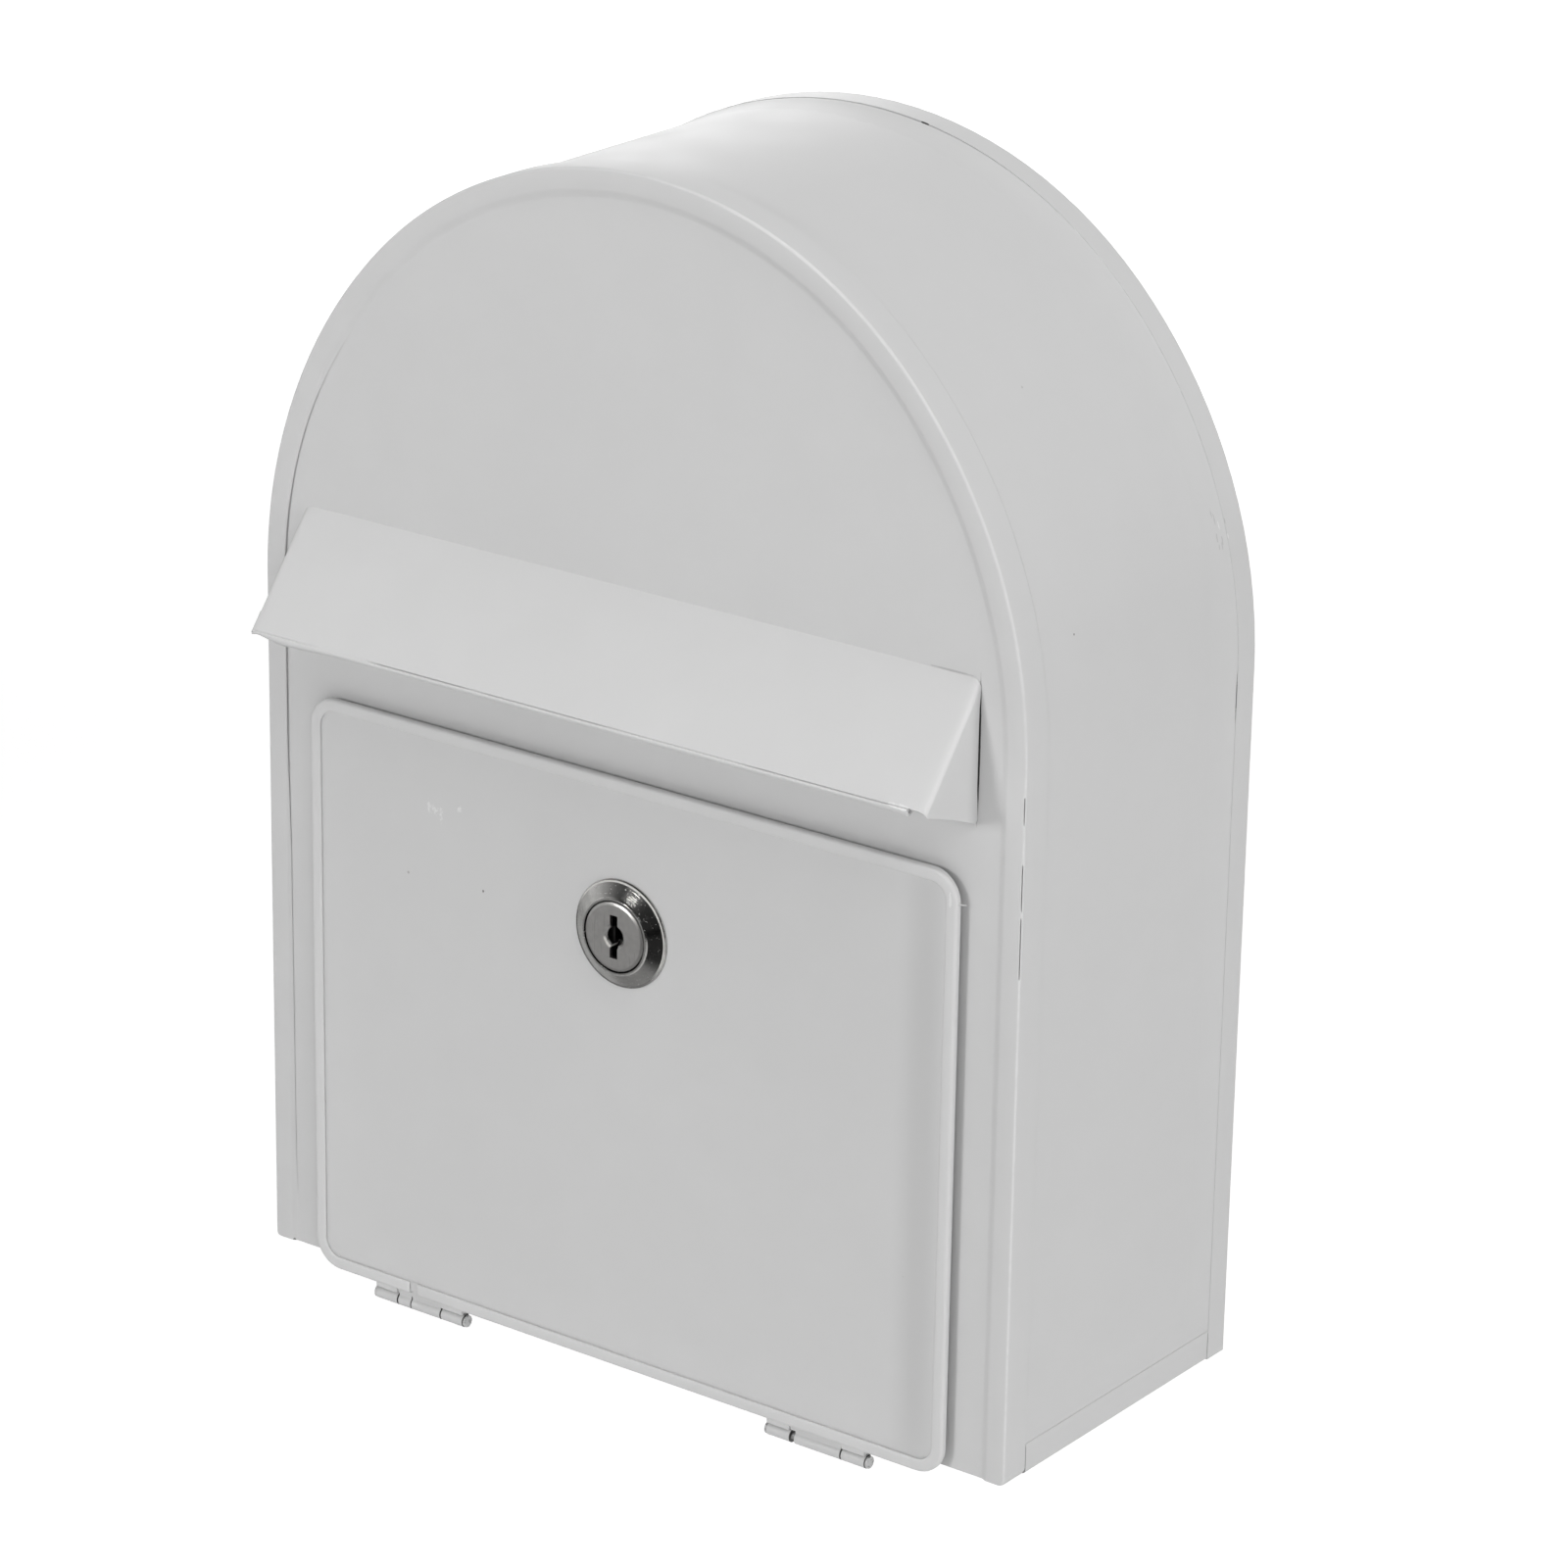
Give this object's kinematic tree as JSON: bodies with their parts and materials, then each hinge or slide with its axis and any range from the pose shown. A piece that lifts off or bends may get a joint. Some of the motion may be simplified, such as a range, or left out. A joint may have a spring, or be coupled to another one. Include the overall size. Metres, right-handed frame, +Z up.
{
  "type": "wall mailbox",
  "caption": "Arched wall mailbox of folded sheet steel with a sloping rain visor over the mail slot and a drop-down door with a cam lock.",
  "frame": {"origin": "centre of the four wall-screw holes, on the outer face of the back panel", "axes": "+X to the viewer's right, +Y into the wall, +Z up"},
  "size_m": [0.19, 0.0974, 0.256],
  "materials": {
    "grey_paint": "satin light grey baked paint",
    "hinge_steel": "bare drawn wire",
    "polished_lock": "polished plating with light scratches",
    "lock_core": "satin",
    "zinc_plate": "zinc plated"
  },
  "bodies": {
    "box": {"side_wrap": "grey_paint", "front_frame": "grey_paint", "front_panel": "grey_paint", "back_panel": "grey_paint", "bottom_plate": "grey_paint", "rain_visor": "grey_paint", "left_hinge_fixed_leaf": "grey_paint", "left_hinge_pin": "hinge_steel", "right_hinge_fixed_leaf": "grey_paint", "right_hinge_pin": "hinge_steel"},
    "door": {"door_panel": "grey_paint", "door_frame": "grey_paint", "left_hinge_door_leaf": "grey_paint", "right_hinge_door_leaf": "grey_paint", "lock_housing": "polished_lock", "lock_nut": "zinc_plate"},
    "lock": {"lock_plug": "lock_core", "lock_wafer_1": "lock_core", "lock_wafer_2": "lock_core", "lock_wafer_3": "lock_core", "lock_wafer_4": "lock_core", "lock_stop_washer": "zinc_plate", "lock_cam": "zinc_plate", "cam_washer": "zinc_plate", "cam_screw": "zinc_plate"}
  },
  "joints": [
    {"name": "door_hinge", "type": "hinge", "parent": "box", "child": "door", "pos_m": [0, -0.08025, -0.1246], "axis": [1, 0, 0], "range_deg": [0, 180]},
    {"name": "lock_turn", "type": "hinge", "parent": "door", "child": "lock", "pos_m": [0, -0.0818, -0.0259], "axis": [0, 1, 0], "range_deg": [0, 90]}
  ]
}
